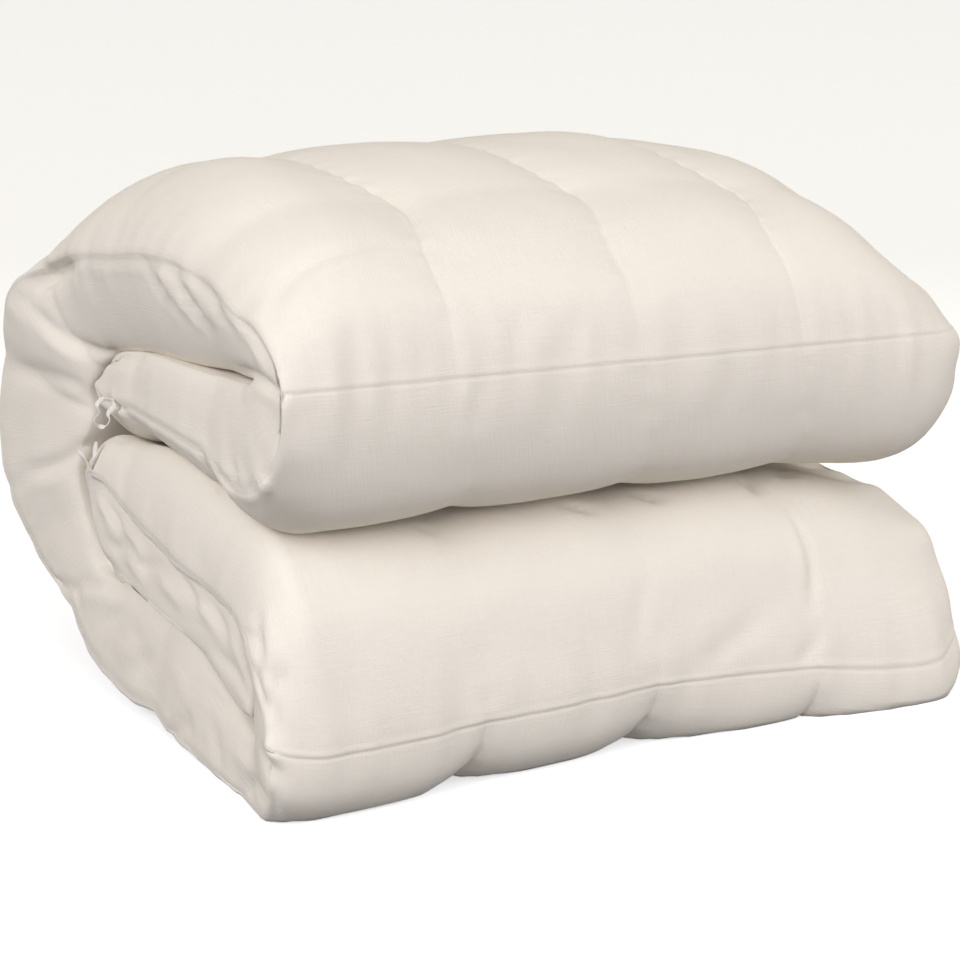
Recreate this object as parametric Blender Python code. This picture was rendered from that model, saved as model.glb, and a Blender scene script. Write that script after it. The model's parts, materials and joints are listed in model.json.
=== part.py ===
"""A quilted weighted blanket, folded into a bundle, with the corner ties that show at its left end.

Metres, +Z up. The bundle rests on z = 0, with its long front folds towards -Y. The quilt is one padded
strip, sewn into columns of cells. It starts at a free end inside the bundle (layer E), runs forward, folds
up and back over the top (layer D), goes down round the back, runs forward along the bottom (layer C),
folds up and back (layer A), and turns once more inside, to end between A and C (layer B).
"""

import bmesh
import bpy
import math
import numpy as np

BUNDLE_WIDTH = 0.50  # along X, between the nominal side edges of the folded quilt
COLUMNS = 4  # quilted columns across the width
CELL_LENGTH = 0.13  # between the cross seams, along the strip
SEAM_DEPTH = 0.007  # of a cross seam whose strength is 1
EDGE_PULL = 0.007  # how far such a seam draws the side edge inwards
EDGE_SHARPNESS = 1.25  # 1 for a round side edge, 2 for a pointed one
INNER_TAPER = 0.3  # the inner face's taper at the side edges, as a share of the outer face's
LAYER_GAP = 0.001  # taken off every face, so that the layers lie a little apart
FOOT_SINK = 0.004  # how much of the lowest padding the weight presses flat
THINNEST = 0.002  # the quilt's least thickness, reached at its free ends
MOST_SUNK = 1 / 3  # of the thickness, that the gap and a seam together take off a face
WELD = 0.00001  # points of the two faces nearer than this are one
ROW_STEP = 0.5  # rows of SECTION between two rows of points
CELL_STOPS = (0.0, 0.1, 0.35, 0.65, 0.9)  # the columns of points across each quilted column
ARC_STEPS = 4  # columns of points round each side edge
CREAM = (0.78, 0.73, 0.66)  # the quilt's cotton, as linear red, green and blue
TAPE_WHITE = (0.82, 0.79, 0.74)  # the ties, a little whiter

# The strip's section in the middle of its width, a row for every bend: y, measured back from the front
# folds, and z of its outer face (the one outside the folds) and of its inner face; how strong the cross
# seam is there; and how deep the channels between the columns are in the outer face.
SECTION_COLUMNS = ("outer_y", "outer_z", "inner_y", "inner_z", "seam", "channel")
SECTION = (
    # outer y, z      inner y, z    seam  channel
    (0.312, 0.210, 0.312, 0.214, 0.0, 0.000),  # free end of E
    (0.290, 0.179, 0.290, 0.232, 0.0, 0.002),
    (0.235, 0.172, 0.235, 0.240, 0.5, 0.004),
    (0.160, 0.169, 0.165, 0.242, 0.0, 0.005),
    (0.095, 0.164, 0.105, 0.243, 0.5, 0.006),
    (0.050, 0.160, 0.080, 0.244, 0.0, 0.007),
    (0.018, 0.178, 0.066, 0.245, 0.0, 0.004),
    (0.003, 0.212, 0.060, 0.246, 0.0, 0.002),
    (0.000, 0.250, 0.057, 0.247, 0.2, 0.001),  # crest of the upper front fold
    (0.011, 0.290, 0.060, 0.249, 0.0, 0.003),
    (0.040, 0.320, 0.075, 0.249, 0.0, 0.006),
    (0.100, 0.350, 0.110, 0.248, 0.5, 0.008),
    (0.170, 0.369, 0.170, 0.246, 0.0, 0.008),  # top layer D
    (0.250, 0.374, 0.240, 0.245, 0.4, 0.008),
    (0.330, 0.360, 0.295, 0.242, 0.0, 0.008),
    (0.400, 0.325, 0.324, 0.234, 0.6, 0.006),
    (0.450, 0.278, 0.333, 0.216, 0.0, 0.007),
    (0.477, 0.222, 0.337, 0.197, 0.9, 0.008),  # back fold
    (0.484, 0.165, 0.338, 0.176, 0.0, 0.008),
    (0.470, 0.115, 0.336, 0.150, 0.9, 0.008),
    (0.430, 0.077, 0.326, 0.124, 0.0, 0.009),
    (0.368, 0.034, 0.298, 0.098, 0.9, 0.010),
    (0.300, 0.004, 0.250, 0.078, 0.0, 0.011),
    (0.215, 0.000, 0.195, 0.066, 0.8, 0.012),  # bottom layer C
    (0.130, -0.001, 0.135, 0.058, 0.0, 0.015),
    (0.060, -0.002, 0.088, 0.053, 0.0, 0.017),
    (0.025, -0.001, 0.064, 0.054, 0.0, 0.017),
    (0.006, 0.017, 0.053, 0.064, 0.0, 0.011),
    (0.000, 0.046, 0.047, 0.080, 0.2, 0.003),  # crest of the lower front fold
    (0.006, 0.085, 0.050, 0.092, 0.0, 0.002),
    (0.020, 0.124, 0.058, 0.103, 0.0, 0.003),
    (0.048, 0.150, 0.074, 0.112, 0.0, 0.005),
    (0.095, 0.160, 0.107, 0.118, 0.5, 0.006),
    (0.160, 0.165, 0.160, 0.125, 0.0, 0.005),
    (0.240, 0.168, 0.230, 0.137, 0.5, 0.004),
    (0.300, 0.168, 0.276, 0.149, 0.0, 0.002),
    (0.326, 0.155, 0.290, 0.151, 0.0, 0.001),  # inner fold between A and B
    (0.318, 0.128, 0.285, 0.146, 0.0, 0.001),
    (0.278, 0.092, 0.243, 0.131, 0.5, 0.002),
    (0.205, 0.070, 0.178, 0.119, 0.0, 0.002),
    (0.125, 0.060, 0.108, 0.110, 0.5, 0.001),
    (0.060, 0.073, 0.060, 0.078, 0.0, 0.000),  # free end of B
)

# The side edges, a row for every few rows of SECTION: the row it belongs to; where the left and right edges
# lie beyond the nominal ones; how far in from each the padding tapers; where each edge seam lies between the
# inner face (0) and the outer one (1); and how far the channels lie aside, because the folds aren't square.
EDGE_COLUMNS = ("row", "left", "right", "left_taper", "right_taper", "left_seam", "right_seam", "aside")
EDGES = (
    # row  left    right   ltaper rtaper  lseam rseam aside
    (0.0, -0.012, -0.020, 0.030, 0.040, 0.50, 0.5, -0.010),
    (3.0, -0.004, -0.006, 0.035, 0.080, 0.50, 0.5, -0.012),
    (6.0, 0.000, 0.022, 0.040, 0.060, 0.75, 0.5, -0.014),
    (8.0, -0.002, 0.014, 0.030, 0.060, 0.95, 0.6, -0.015),
    (10.0, -0.002, -0.010, 0.070, 0.088, 0.50, 0.4, -0.015),
    (11.5, -0.001, -0.012, 0.078, 0.078, 0.56, 0.4, -0.013),
    (13.0, 0.000, -0.009, 0.085, 0.084, 0.45, 0.4, -0.012),
    (16.0, 0.004, -0.008, 0.080, 0.100, 0.75, 0.5, -0.008),
    (18.0, 0.006, -0.002, 0.060, 0.090, 0.90, 0.6, -0.006),
    (19.0, 0.012, 0.000, 0.055, 0.083, 0.84, 0.6, -0.005),
    (21.0, 0.003, 0.004, 0.045, 0.070, 0.70, 0.6, -0.003),
    (24.0, -0.003, 0.006, 0.045, 0.050, 0.85, 0.8, -0.014),
    (28.0, 0.006, 0.010, 0.035, 0.050, 0.90, 0.8, 0.004),
    (31.0, 0.000, 0.001, 0.025, 0.100, 0.30, 0.4, 0.006),
    (34.0, 0.000, -0.004, 0.025, 0.100, 0.20, 0.4, 0.004),
    (37.0, -0.006, -0.014, 0.030, 0.060, 0.40, 0.5, 0.000),
    (41.0, -0.020, -0.024, 0.030, 0.040, 0.50, 0.5, 0.000),
)

# Where the outer face swells beyond the section, or sinks below it: the place across and along the strip,
# how far the swelling reaches each way, and its height.
MOUND_COLUMNS = ("x", "row", "across", "along", "height")
MOUNDS = (
    # x      row   across along  height
    (0.06, 13.0, 0.120, 3.0, 0.004),  # the top is highest right of the middle
    (-0.17, 13.0, 0.090, 2.5, -0.006),  # lower at the left
    (-0.25, 15.5, 0.090, 2.5, -0.013),  # where it falls away at the back
    (0.27, 11.8, 0.085, 2.6, -0.005),  # and lower at the right
    (0.27, 9.2, 0.060, 0.9, -0.012),
    (0.25, 12.6, 0.050, 1.5, 0.007),
    (0.18, 13.0, 0.045, 1.5, -0.005),
    (-0.26, 3.0, 0.060, 3.0, -0.018),  # E rises at its left end
    (-0.26, 33.5, 0.060, 2.5, 0.022),  # where A swells under it
    (0.27, 32.0, 0.080, 2.0, -0.024),  # as A does
    (0.24, 6.0, 0.060, 2.0, 0.008),  # the upper fold hangs lower at the right
    (0.22, 27.0, 0.120, 2.0, 0.022),  # the lower fold swells forward at the right
    (0.24, 27.7, 0.110, 1.0, 0.010),
    (0.18, 26.2, 0.140, 1.1, 0.011),
    (-0.16, 26.0, 0.060, 3.0, 0.003),
)

# The ties sewn to the corners: where their middles run, from the front folds back.
TIE_WIDTH = 0.003
TIE_SAMPLES = 4  # points between two rows
CORNER_LOOP = (  # closed, and pinched in its middle, on E's free corner
    # x      y      z
    (-0.2438, 0.2597, 0.2060),
    (-0.2434, 0.2587, 0.2020),
    (-0.2468, 0.2609, 0.1975),
    (-0.2460, 0.2605, 0.1930),
    (-0.2488, 0.2627, 0.1890),
    (-0.2528, 0.2652, 0.1900),
    (-0.2538, 0.2657, 0.1940),
    (-0.2513, 0.2642, 0.1985),
    (-0.2528, 0.2647, 0.2030),
    (-0.2488, 0.2627, 0.2070),
)
CORNER_TIE = (  # open, with its two free ends up, on the corner of the inner fold
    # x      y      z
    (-0.2560, 0.2990, 0.1700),
    (-0.2535, 0.2975, 0.1655),
    (-0.2500, 0.2955, 0.1600),
    (-0.2485, 0.2945, 0.1570),
    (-0.2470, 0.2935, 0.1605),
    (-0.2455, 0.2925, 0.1670),
    (-0.2445, 0.2915, 0.1740),
)


def through(knots, values, places):
    """A smooth curve through the values at the knots, read at the places."""
    knots, values = np.asarray(knots, float), np.asarray(values, float)
    slopes = np.gradient(values, knots)
    i = np.clip(np.searchsorted(knots, places, side="right") - 1, 0, len(knots) - 2)
    span = knots[i + 1] - knots[i]
    t = (places - knots[i]) / span
    start = (1 + 2 * t) * (1 - t) ** 2 * values[i] + t * (1 - t) ** 2 * span * slopes[i]
    return start + t * t * (3 - 2 * t) * values[i + 1] + t * t * (t - 1) * span * slopes[i + 1]


def run_lengths(points):
    """How far along a line of points each one lies."""
    steps = np.linalg.norm(np.diff(points, axis=0), axis=1)
    return np.r_[0, np.cumsum(steps)]


def dent(distance, spacing):
    """1 on a line of stitches, rising from it in a round pillow that is level half a spacing away."""
    reach = np.clip(np.abs(distance) / spacing, 0, 0.5)
    return 1 - np.sqrt(4 * reach * (1 - reach))


def section_at(rows):
    """The SECTION columns at fractional row numbers, with the cross seams spread into their dents."""
    table = np.array(SECTION)
    middle = (table[:, 0:2] + table[:, 2:4]) / 2
    travelled = (run_lengths(middle) + run_lengths(table[:, 0:2])) / 2
    places = np.interp(rows, np.arange(len(table)), travelled)
    found = {name: through(travelled, table[:, i], places) for i, name in enumerate(SECTION_COLUMNS)}
    strengths = table[:, SECTION_COLUMNS.index("seam")]
    dents = [strength * dent(places - place, CELL_LENGTH) for place, strength in zip(travelled, strengths)]
    found["seam"] = np.max(dents, axis=0)
    return found


def edges_at(rows):
    """The EDGES columns at fractional row numbers."""
    table = np.array(EDGES)
    return {name: through(table[:, 0], table[:, i], rows) for i, name in enumerate(EDGE_COLUMNS)}


def swelling(x, rows):
    """How far the outer face stands beyond the section at a place on the strip."""
    total = 0.0
    for values in MOUNDS:
        mound = dict(zip(MOUND_COLUMNS, values))
        distance = ((x - mound["x"]) / mound["across"]) ** 2 + ((rows - mound["row"]) / mound["along"]) ** 2
        total = total + mound["height"] * np.exp(-distance)
    return total


def across():
    """The columns of points of a face: for each its angle round a side edge, and its place between the edges."""
    turn = [math.pi / 2 * i / ARC_STEPS for i in range(ARC_STEPS)]
    left = [(angle, 0.0) for angle in turn]
    middle = [(math.pi / 2, cell + stop) for cell in range(COLUMNS) for stop in CELL_STOPS]
    right = [(angle, float(COLUMNS)) for angle in turn[::-1]]
    return left + middle + [(math.pi / 2, float(COLUMNS))] + right


def face_points(face):
    """The grid of points of the outer or the inner face, a row for each station."""
    rows = np.arange(0, len(SECTION) - 1 + ROW_STEP / 2, ROW_STEP)
    at, edge = section_at(rows), edges_at(rows)
    outer = np.stack([at["outer_y"], at["outer_z"]], axis=1)
    inner = np.stack([at["inner_y"], at["inner_z"]], axis=1)
    thickness = np.maximum(np.linalg.norm(outer - inner, axis=1), THINNEST)
    outward = (outer - inner) / thickness[:, None]
    sunk = np.minimum(LAYER_GAP + SEAM_DEPTH * at["seam"], thickness * MOST_SUNK)
    outer = outer - outward * sunk[:, None]
    inner = inner + outward * np.minimum(LAYER_GAP, thickness * MOST_SUNK)[:, None]
    skin = outer if face == "outer" else inner

    reach = 1 if face == "outer" else INNER_TAPER
    pitch = BUNDLE_WIDTH / COLUMNS
    left = -BUNDLE_WIDTH / 2 - edge["left"] + EDGE_PULL * at["seam"]
    right = BUNDLE_WIDTH / 2 + edge["right"] - EDGE_PULL * at["seam"]
    channels = [pitch * i - BUNDLE_WIDTH / 2 + edge["aside"] for i in range(1, COLUMNS)]
    borders = [left + reach * edge["left_taper"]] + channels + [right - reach * edge["right_taper"]]
    columns = []
    for angle, place in across():
        cell = min(int(place), COLUMNS - 1)
        x = borders[cell] + (borders[cell + 1] - borders[cell]) * (place - cell)
        side = "left" if place < COLUMNS / 2 else "right"
        sign = -1 if side == "left" else 1
        x = x + sign * reach * edge[side + "_taper"] * math.cos(angle)
        seam_line = inner + (outer - inner) * edge[side + "_seam"][:, None]
        rise = math.sin(angle) ** EDGE_SHARPNESS
        point = seam_line + (skin - seam_line) * rise
        if face == "outer":
            sewn = np.max([dent(x - channel, pitch) for channel in channels], axis=0)
            point = point + outward * (rise * (swelling(x, rows) - at["channel"] * sewn))[:, None]
        columns.append(np.stack([x, point[:, 0], np.maximum(point[:, 1] - FOOT_SINK, 0)], axis=1))
    return np.stack(columns, axis=1)


def blanket_faces():
    """The outer and the inner face, meeting at the two free ends as they do at the side edges."""
    outer, inner = face_points("outer"), face_points("inner")
    for end in (0, -1):
        outer[end] = inner[end] = (outer[end] + inner[end]) / 2
    return outer, inner


def blanket_mesh(outer, inner):
    """The quilt: its outer and inner faces, sewn together all round."""
    mesh = bmesh.new()
    for grid, flip in ((outer, False), (inner, True)):
        corners = [[mesh.verts.new(point) for point in row] for row in grid]
        for row, above in zip(corners, corners[1:]):
            for i in range(len(row) - 1):
                loop = (row[i], row[i + 1], above[i + 1], above[i])
                mesh.faces.new(loop[::-1] if flip else loop)
    bmesh.ops.remove_doubles(mesh, verts=mesh.verts, dist=WELD)
    bmesh.ops.triangulate(mesh, faces=mesh.faces)
    for face in mesh.faces:
        face.smooth = True
    data = bpy.data.meshes.new("quilted_blanket")
    mesh.to_mesh(data)
    mesh.free()
    return data


def tie(name, places, closed):
    """A narrow tie along the places, as a tube round a smooth curve."""
    rows = np.array(places)
    if closed:
        rows = np.vstack([rows, rows[:1]])
    knots = np.arange(len(rows))
    stops = np.linspace(0, len(rows) - 1, TIE_SAMPLES * (len(rows) - 1) + 1)
    points = np.stack([through(knots, column, stops) for column in rows.T], axis=1)
    points = points[:-1] if closed else points
    curve = bpy.data.curves.new(name, "CURVE")
    curve.dimensions = "3D"
    curve.bevel_depth = TIE_WIDTH / 2
    curve.bevel_resolution = 1
    curve.use_fill_caps = not closed
    spline = curve.splines.new("POLY")
    spline.points.add(len(points) - 1)
    for corner, point in zip(spline.points, points):
        corner.co = (*point, 1)
    spline.use_cyclic_u = closed
    return bpy.data.objects.new(name, curve)


def cotton(name, colour):
    """A matt, slightly soft cotton."""
    material = bpy.data.materials.new(name)
    material.use_nodes = True
    shader = material.node_tree.nodes["Principled BSDF"]
    shader.inputs["Base Color"].default_value = (*colour, 1)
    shader.inputs["Roughness"].default_value = 0.9
    shader.inputs["Metallic"].default_value = 0.0
    return material


def main():
    for obj in list(bpy.data.objects):
        bpy.data.objects.remove(obj)
    collection = bpy.data.collections.new("weighted_blanket")
    bpy.context.scene.collection.children.link(collection)
    outer, inner = blanket_faces()
    corners = np.vstack([outer.reshape(-1, 3), inner.reshape(-1, 3)])
    middle = (corners.min(axis=0) + corners.max(axis=0)) / 2 * [1, 1, 0]
    blanket = bpy.data.objects.new("quilted_blanket", blanket_mesh(outer - middle, inner - middle))
    blanket.data.materials.append(cotton("cream_cotton", CREAM))
    tape = cotton("white_tape", TAPE_WHITE)
    loop = tie("corner_loop", np.array(CORNER_LOOP) - middle, True)
    ends = tie("corner_tie", np.array(CORNER_TIE) - middle, False)
    for piece in (loop, ends):
        piece.data.materials.append(tape)
    for piece in (blanket, loop, ends):
        collection.objects.link(piece)


main()
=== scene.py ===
"""The look of a quilted weighted blanket that is folded into a bundle: its cloth, seams, creases and ties.

Metres, +Z up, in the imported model's frame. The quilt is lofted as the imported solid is, from its tables with
finer rows at the layers' ends and with many more points. It then gets its sewn lines, creases and puckers.
"""

import json
import math

import bpy
import numpy as np
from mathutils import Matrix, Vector, noise
from mathutils.bvhtree import BVHTree

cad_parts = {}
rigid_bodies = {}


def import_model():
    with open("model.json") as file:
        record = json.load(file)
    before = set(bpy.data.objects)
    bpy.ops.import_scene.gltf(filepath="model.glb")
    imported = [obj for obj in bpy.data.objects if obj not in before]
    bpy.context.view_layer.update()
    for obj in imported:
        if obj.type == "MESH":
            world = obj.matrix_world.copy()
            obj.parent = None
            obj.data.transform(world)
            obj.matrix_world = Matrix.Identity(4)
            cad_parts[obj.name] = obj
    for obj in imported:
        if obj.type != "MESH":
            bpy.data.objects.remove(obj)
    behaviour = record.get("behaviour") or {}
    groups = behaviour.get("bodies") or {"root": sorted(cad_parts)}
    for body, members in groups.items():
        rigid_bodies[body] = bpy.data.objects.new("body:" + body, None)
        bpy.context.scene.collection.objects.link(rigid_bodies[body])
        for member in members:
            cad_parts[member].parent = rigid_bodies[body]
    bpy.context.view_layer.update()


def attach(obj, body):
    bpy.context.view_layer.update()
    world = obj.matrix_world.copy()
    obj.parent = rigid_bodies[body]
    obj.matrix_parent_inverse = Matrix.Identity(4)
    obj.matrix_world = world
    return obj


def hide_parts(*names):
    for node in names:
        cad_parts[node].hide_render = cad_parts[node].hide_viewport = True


for startup in list(bpy.data.objects):
    bpy.data.objects.remove(startup)
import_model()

# ---------------------------------------------------------------------------------------------------------
# The fold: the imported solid's tables, refined where the layers' ends show
# ---------------------------------------------------------------------------------------------------------

BUNDLE_WIDTH = 0.50  # along X, between the nominal side edges of the folded quilt
COLUMNS = 4  # quilted columns across the width
PITCH = BUNDLE_WIDTH / COLUMNS  # from channel to channel
CELL_LENGTH = 0.13  # between the cross seams, along the strip
SEAM_DEPTH = 0.007  # of a cross seam whose strength is 1
EDGE_PULL = 0.007  # how far such a seam draws the side edge inwards
EDGE_SHARPNESS = 1.25  # 1 for a round side edge, 2 for a pointed one
INNER_TAPER = 0.3  # the inner face's taper at the side edges, as a share of the outer face's
LAYER_GAP = 0.001  # taken off every face, so that the layers lie a little apart
FOOT_SINK = 0.004  # how much of the lowest padding the weight presses flat
THINNEST = 0.002  # the quilt's least thickness, reached at its free ends
MOST_SUNK = 1 / 3  # of the thickness, that the gap and a seam together take off a face
SMALLEST = 1e-12  # keeps a divisor off 0
UPPER_CREST, LOWER_CREST = 8, 28  # the rows of SECTION at the crests of the two front folds
BUNDLE_MIDDLE = (0.00589, 0.23040, 0.0)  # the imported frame's origin, in the section's frame

# The strip's section in the middle of its width, a row for every bend: y, measured back from the front
# folds, and z of its outer face (the one outside the folds) and of its inner face; how strong the cross
# seam is there; and how deep the channels between the columns are in the outer face.
SECTION_COLUMNS = ("outer_y", "outer_z", "inner_y", "inner_z", "seam", "channel")
SECTION = (
    # outer y, z      inner y, z    seam  channel
    (0.312, 0.210, 0.312, 0.214, 0.0, 0.000),  # free end of E
    (0.290, 0.179, 0.290, 0.232, 0.0, 0.002),
    (0.235, 0.172, 0.235, 0.240, 0.5, 0.004),
    (0.160, 0.169, 0.165, 0.242, 0.0, 0.005),
    (0.095, 0.164, 0.105, 0.243, 0.5, 0.006),
    (0.050, 0.160, 0.080, 0.244, 0.0, 0.007),
    (0.018, 0.178, 0.066, 0.245, 0.0, 0.004),
    (0.003, 0.212, 0.060, 0.246, 0.0, 0.002),
    (0.000, 0.250, 0.057, 0.247, 0.2, 0.001),  # crest of the upper front fold
    (0.011, 0.290, 0.060, 0.249, 0.0, 0.003),
    (0.040, 0.320, 0.075, 0.249, 0.0, 0.006),
    (0.100, 0.350, 0.110, 0.248, 0.55, 0.008),
    (0.170, 0.369, 0.170, 0.246, 0.0, 0.008),  # top layer D
    (0.250, 0.374, 0.240, 0.245, 0.4, 0.008),
    (0.330, 0.360, 0.295, 0.242, 0.0, 0.008),
    (0.400, 0.325, 0.324, 0.234, 0.6, 0.006),
    (0.450, 0.278, 0.333, 0.216, 0.0, 0.007),
    (0.477, 0.222, 0.337, 0.197, 0.9, 0.008),  # back fold
    (0.484, 0.165, 0.338, 0.176, 0.0, 0.008),
    (0.470, 0.115, 0.336, 0.150, 0.9, 0.008),
    (0.430, 0.077, 0.326, 0.124, 0.0, 0.009),
    (0.368, 0.034, 0.298, 0.098, 0.9, 0.010),
    (0.300, 0.004, 0.250, 0.078, 0.0, 0.011),
    (0.215, 0.000, 0.195, 0.066, 0.8, 0.012),  # bottom layer C
    (0.130, -0.001, 0.135, 0.058, 0.0, 0.015),
    (0.060, -0.002, 0.088, 0.053, 0.0, 0.017),
    (0.025, -0.001, 0.064, 0.054, 0.0, 0.017),
    (0.006, 0.017, 0.053, 0.064, 0.0, 0.011),
    (0.000, 0.046, 0.047, 0.080, 0.2, 0.003),  # crest of the lower front fold
    (0.006, 0.085, 0.050, 0.092, 0.0, 0.001),
    (0.020, 0.124, 0.058, 0.103, 0.0, 0.002),
    (0.048, 0.150, 0.074, 0.112, 0.0, 0.005),
    (0.095, 0.160, 0.107, 0.118, 0.5, 0.006),
    (0.160, 0.165, 0.160, 0.125, 0.0, 0.005),
    (0.240, 0.168, 0.230, 0.137, 0.5, 0.004),
    (0.300, 0.168, 0.276, 0.149, 0.0, 0.002),
    (0.326, 0.155, 0.290, 0.151, 0.0, 0.001),  # inner fold between A and B
    (0.318, 0.128, 0.285, 0.146, 0.0, 0.001),
    (0.278, 0.092, 0.243, 0.131, 0.5, 0.002),
    (0.205, 0.070, 0.178, 0.119, 0.0, 0.002),
    (0.125, 0.061, 0.108, 0.110, 0.5, 0.001),
    (0.086, 0.059, 0.080, 0.103, 0.0, 0.001),
    (0.056, 0.058, 0.056, 0.072, 0.0, 0.000),  # free end of B
)

# The side edges, a row for every few rows of SECTION: the row it belongs to; where the left and right edges
# lie beyond the nominal ones; how far in from each the padding tapers; where each edge seam lies between the
# inner face (0) and the outer one (1); and how far the channels lie aside, because the folds aren't square.
EDGE_COLUMNS = ("row", "left", "right", "left_taper", "right_taper", "left_seam", "right_seam", "aside")
EDGES = (
    # row  left    right   ltaper rtaper  lseam rseam aside
    (0.0, -0.012, -0.020, 0.030, 0.040, 0.50, 0.5, -0.010),
    (3.0, -0.004, -0.006, 0.035, 0.080, 0.50, 0.5, 0.002),
    (6.0, 0.000, 0.022, 0.040, 0.060, 0.75, 0.5, 0.003),
    (8.0, -0.002, 0.014, 0.030, 0.060, 0.96, 0.6, -0.013),
    (9.0, -0.002, 0.000, 0.050, 0.080, 0.67, 0.5, -0.015),
    (10.0, -0.002, -0.010, 0.070, 0.088, 0.51, 0.4, -0.012),
    (10.8, -0.002, -0.013, 0.076, 0.082, 0.51, 0.4, 0.002),
    (11.5, -0.001, -0.012, 0.080, 0.078, 0.51, 0.4, -0.010),
    (12.0, -0.001, -0.010, 0.081, 0.078, 0.49, 0.4, -0.013),
    (13.0, 0.000, -0.009, 0.085, 0.084, 0.44, 0.4, -0.012),
    (14.5, 0.001, -0.009, 0.084, 0.096, 0.50, 0.4, -0.010),
    (16.0, 0.009, -0.008, 0.080, 0.100, 0.76, 0.5, -0.008),
    (18.0, 0.006, -0.002, 0.060, 0.090, 0.90, 0.6, -0.006),
    (19.0, 0.012, 0.000, 0.055, 0.083, 0.84, 0.6, -0.005),
    (20.0, 0.005, 0.002, 0.050, 0.077, 0.77, 0.6, -0.004),
    (21.0, 0.003, 0.004, 0.045, 0.070, 0.70, 0.6, -0.003),
    (24.0, -0.003, 0.006, 0.045, 0.050, 0.85, 0.9, -0.014),
    (28.0, 0.006, 0.010, 0.035, 0.050, 0.72, 0.96, 0.004),
    (31.0, 0.000, 0.001, 0.025, 0.100, 0.12, 0.4, 0.006),
    (32.5, 0.000, 0.001, 0.025, 0.100, 0.08, 0.4, 0.005),
    (34.0, 0.000, -0.004, 0.025, 0.100, 0.25, 0.4, 0.004),
    (36.5, -0.005, -0.012, 0.026, 0.065, 0.60, 0.5, 0.000),
    (37.8, -0.005, -0.014, 0.023, 0.058, 0.96, 0.5, 0.000),
    (38.5, -0.004, -0.014, 0.022, 0.055, 0.72, 0.5, 0.000),
    (39.5, -0.003, -0.015, 0.022, 0.050, 0.62, 0.5, 0.000),
    (40.6, -0.003, -0.016, 0.022, 0.045, 0.74, 0.5, 0.000),
    (42.0, -0.004, -0.024, 0.024, 0.040, 1.00, 0.5, 0.000),
)

# Where a face swells beyond the section, or sinks below it: the face, the place across and along the strip,
# how far the swelling reaches each way, and its height.
MOUND_COLUMNS = ("face", "x", "row", "across", "along", "height")
MOUNDS = (
    # face     x      row   across along  height
    ("outer", 0.06, 13.0, 0.120, 3.0, 0.004),  # the top is highest right of the middle
    ("outer", -0.17, 13.0, 0.090, 2.5, -0.006),  # lower at the left
    ("outer", -0.25, 15.5, 0.090, 2.5, -0.013),  # where it falls away at the back
    ("outer", 0.27, 11.8, 0.085, 2.6, -0.005),  # and lower at the right
    ("outer", 0.27, 9.2, 0.060, 0.9, -0.012),
    ("outer", 0.25, 12.6, 0.050, 1.5, 0.007),
    ("outer", 0.16, 12.6, 0.040, 1.8, -0.004),
    ("outer", 0.10, 12.7, 0.045, 1.5, 0.003),
    ("outer", 0.20, 13.3, 0.045, 1.2, -0.007),
    ("outer", -0.26, 2.4, 0.060, 1.4, -0.018),  # E rises at its left end
    ("outer", -0.26, 33.5, 0.060, 2.5, 0.024),  # where A swells under it
    ("outer", -0.26, 33.3, 0.050, 0.9, 0.005),
    ("outer", 0.27, 32.0, 0.080, 2.0, -0.024),  # A falls away at its right end
    ("outer", 0.24, 6.0, 0.060, 2.0, 0.008),  # the upper fold hangs lower at the right
    ("outer", 0.22, 27.0, 0.120, 2.0, 0.022),  # the lower fold swells forward at the right
    ("outer", 0.24, 27.7, 0.110, 1.0, 0.010),
    ("outer", 0.18, 26.2, 0.140, 1.1, 0.011),
    ("outer", -0.16, 26.0, 0.060, 3.0, 0.003),
    # at the ends of the bundle the layers swell until they all but touch
    ("inner", -0.26, 4.0, 0.070, 3.0, 0.0035),
    ("inner", -0.26, 11.0, 0.070, 3.0, 0.0035),
    ("inner", -0.26, 2.0, 0.060, 1.2, 0.003),
    ("inner", 0.26, 4.0, 0.070, 3.0, 0.0030),
    ("inner", 0.26, 11.0, 0.070, 3.0, 0.0030),
    ("inner", -0.25, 15.2, 0.080, 1.6, 0.016),  # the back fold closes round E's free end
    ("inner", -0.25, 17.0, 0.080, 1.0, 0.008),
    ("inner", -0.25, 17.8, 0.080, 0.9, 0.011),
    ("outer", -0.26, 3.2, 0.045, 1.3, 0.007),
    ("inner", -0.26, 23.0, 0.050, 1.5, 0.024),  # C's left end is thick at the back
    ("inner", -0.26, 20.8, 0.028, 0.8, -0.010),  # a pocket opens between the back fold, B and C
    ("inner", -0.26, 32.5, 0.050, 0.9, 0.003),
    ("outer", -0.26, 39.1, 0.050, 1.0, -0.021),  # and B is thin above it
    ("inner", -0.26, 39.4, 0.050, 1.5, 0.006),
    ("inner", -0.26, 25.7, 0.050, 1.1, -0.014),  # C is thin near the front
    ("outer", -0.26, 41.3, 0.050, 0.8, 0.014),  # and B is thick there
    ("outer", 0.26, 39.2, 0.060, 1.6, 0.008),
)

# ---------------------------------------------------------------------------------------------------------
# What the cloth adds
# ---------------------------------------------------------------------------------------------------------

# How far apart the rows of points lie along the strip: from which row of SECTION on, and the spacing there.
SPACINGS = (
    (0.0, 0.0048),
    (4.5, 0.0042),
    (7.75, 0.0008),  # the upper crest's seam
    (8.15, 0.0042),
    (17.0, 0.0055),
    (23.0, 0.0045),
    (27.7, 0.0008),  # the lower crest's seam
    (28.25, 0.0042),
    (32.5, 0.0060),
)
FINE_STEPS = 20000  # places along the strip at which the spacings are added up
OUTER_STOPS = 30  # columns of points across each quilted column of the outer face
INNER_STOPS = 9  # and of the inner face, which shows only at the side edges
ARC_STEPS = 14  # columns of points round each side edge
CROWDING = 0.6  # how much closer together the columns lie near a channel

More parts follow.
